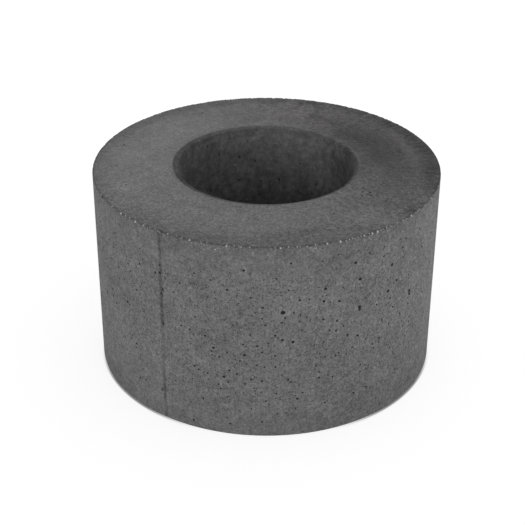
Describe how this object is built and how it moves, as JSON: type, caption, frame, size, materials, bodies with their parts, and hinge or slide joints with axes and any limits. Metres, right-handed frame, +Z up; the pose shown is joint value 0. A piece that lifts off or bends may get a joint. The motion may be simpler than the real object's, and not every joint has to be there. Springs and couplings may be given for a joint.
{
  "type": "concrete culvert ring",
  "caption": "Short, thick-walled ring of cast dark grey concrete with a plain round through bore, flat ends, a rounded upper mouth and one form joint down its outer wall.",
  "frame": {"origin": "centre of the bed face that the ring stands on", "axes": "+Z up along the bore's axis, -Y towards the side that the picture shows"},
  "size_m": [0.3, 0.3, 0.18],
  "materials": {
    "concrete": "matt cast concrete, dark neutral grey, with fine sand grain, pinholes and a dark form joint"
  },
  "bodies": {
    "root": {"concrete_ring": "concrete"}
  },
  "joints": []
}
